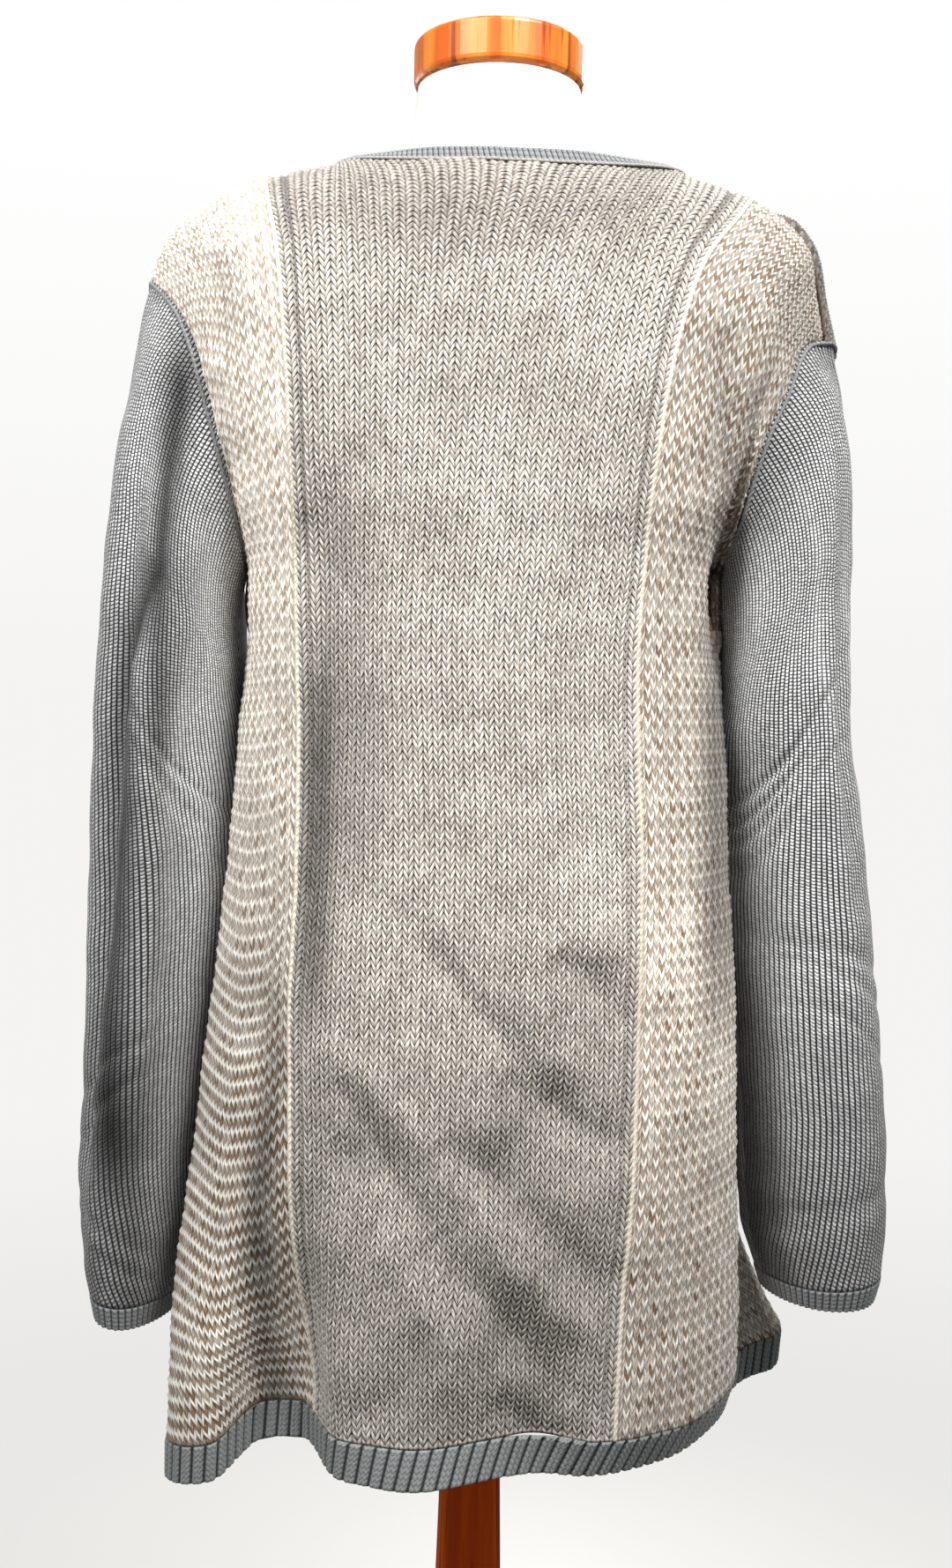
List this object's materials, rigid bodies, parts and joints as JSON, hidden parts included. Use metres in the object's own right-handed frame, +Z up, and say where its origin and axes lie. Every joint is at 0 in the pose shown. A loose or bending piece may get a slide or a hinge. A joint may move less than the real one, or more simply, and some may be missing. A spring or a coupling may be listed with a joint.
{
  "type": "long-sleeved knit sweater on dress form",
  "caption": "A long-sleeved knitted sweater in beige, cream and taupe with blue-grey sleeves and ribbed bands, on a limbless dress form with a wooden neck cap, pole and round base.",
  "frame": {"origin": "centre of the base plate's underside", "axes": "+Z up, the garment's front faces -Y, the wearer's left is +X"},
  "size_m": [0.5267, 0.34, 1.4885],
  "materials": {
    "knit_beige": "matt heathered stockinette",
    "knit_cream": "matt two-colour knit",
    "knit_blue": "matt fine stockinette",
    "rib_blue": "matt rib",
    "form_cover": "smooth white jersey",
    "wood_orange": "gloss varnish",
    "wood_brown": "satin varnish"
  },
  "bodies": {
    "root": {"back_panel": "knit_beige", "back_side_left": "knit_cream", "back_side_right": "knit_cream", "front_panel": "knit_beige", "front_side_left": "knit_cream", "front_side_right": "knit_cream", "sleeve_left": "knit_blue", "sleeve_right": "knit_blue", "cuff_left": "rib_blue", "cuff_right": "rib_blue", "hem_band_back": "rib_blue", "hem_band_front": "rib_blue", "neckband": "rib_blue", "dress_form_torso": "form_cover", "neck_cap": "wood_orange", "pole": "wood_brown", "base_plate": "wood_brown"}
  },
  "joints": []
}
